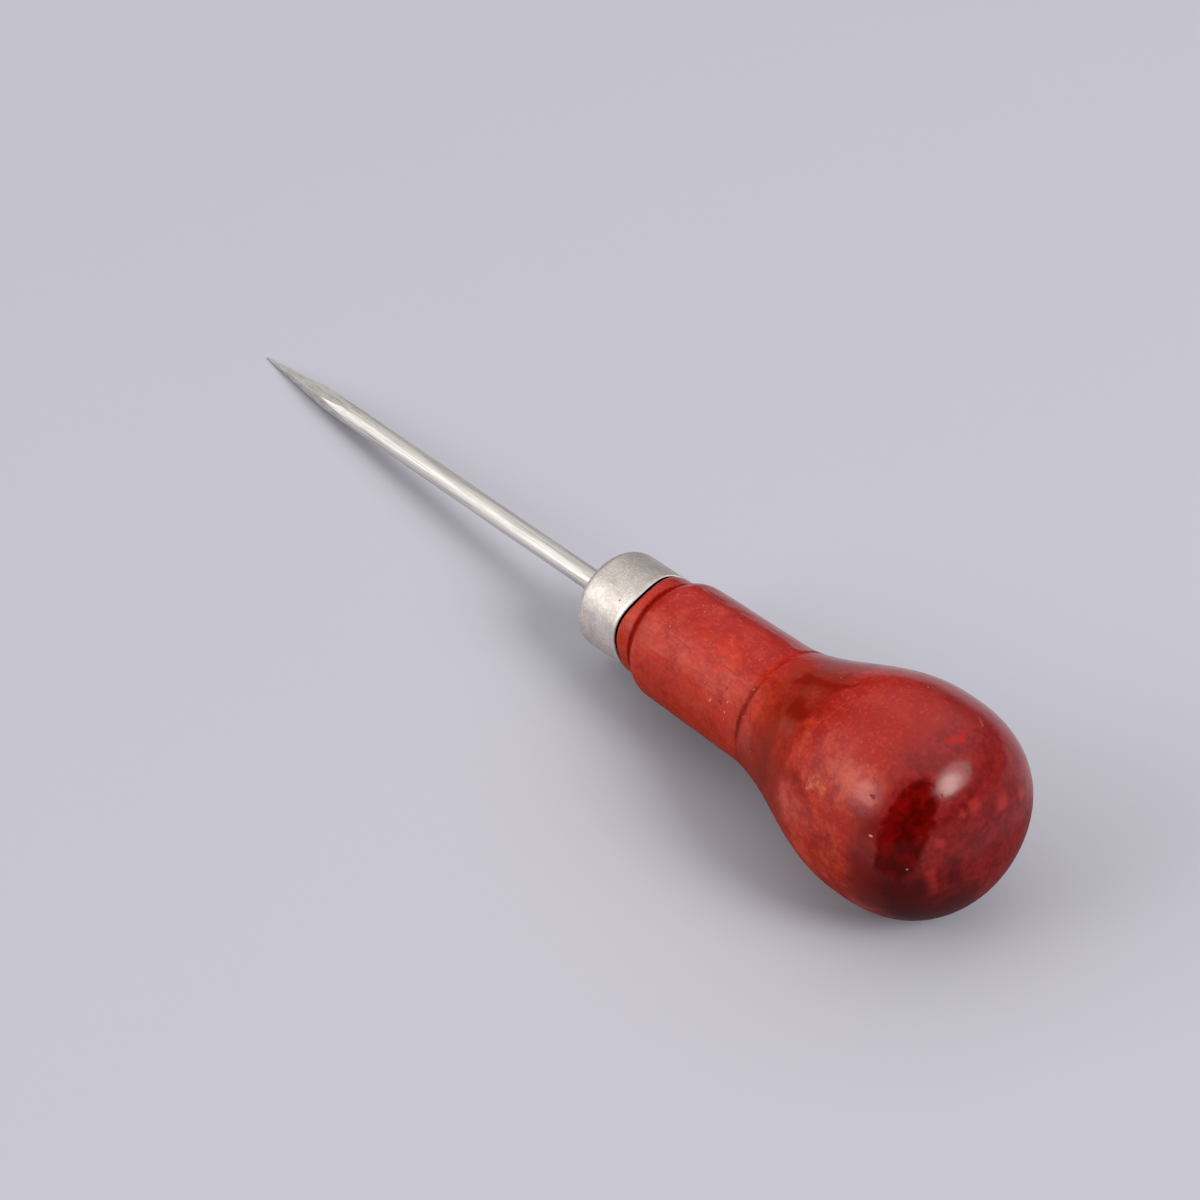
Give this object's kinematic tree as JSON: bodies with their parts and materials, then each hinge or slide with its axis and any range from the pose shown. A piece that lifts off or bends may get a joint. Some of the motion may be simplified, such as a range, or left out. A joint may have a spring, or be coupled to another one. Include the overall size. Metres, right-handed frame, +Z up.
{
  "type": "stitching awl",
  "caption": "Stitching awl for leather: a straight steel blade with a square ground point, a drawn metal ferrule and a turned, varnished wooden bulb handle.",
  "frame": {"origin": "on the table under the middle of the awl's box, as it lies at rest on its bulb and its tip", "axes": "+X along the table from the tip to the butt of the handle, +Z up; the awl's own axis lies in the XZ plane and rises 5.9 degrees towards +X"},
  "size_m": [0.1494, 0.028, 0.0282],
  "materials": {
    "blade_steel": "drawn and polished lengthwise, with ground facets at the point",
    "ferrule_nickel": "satin nickel plate with fine specks",
    "handle_wood": "orange-red stain under gloss varnish, darker on the end grain"
  },
  "bodies": {
    "root": {"blade": "blade_steel", "ferrule": "ferrule_nickel", "handle": "handle_wood"}
  },
  "joints": []
}
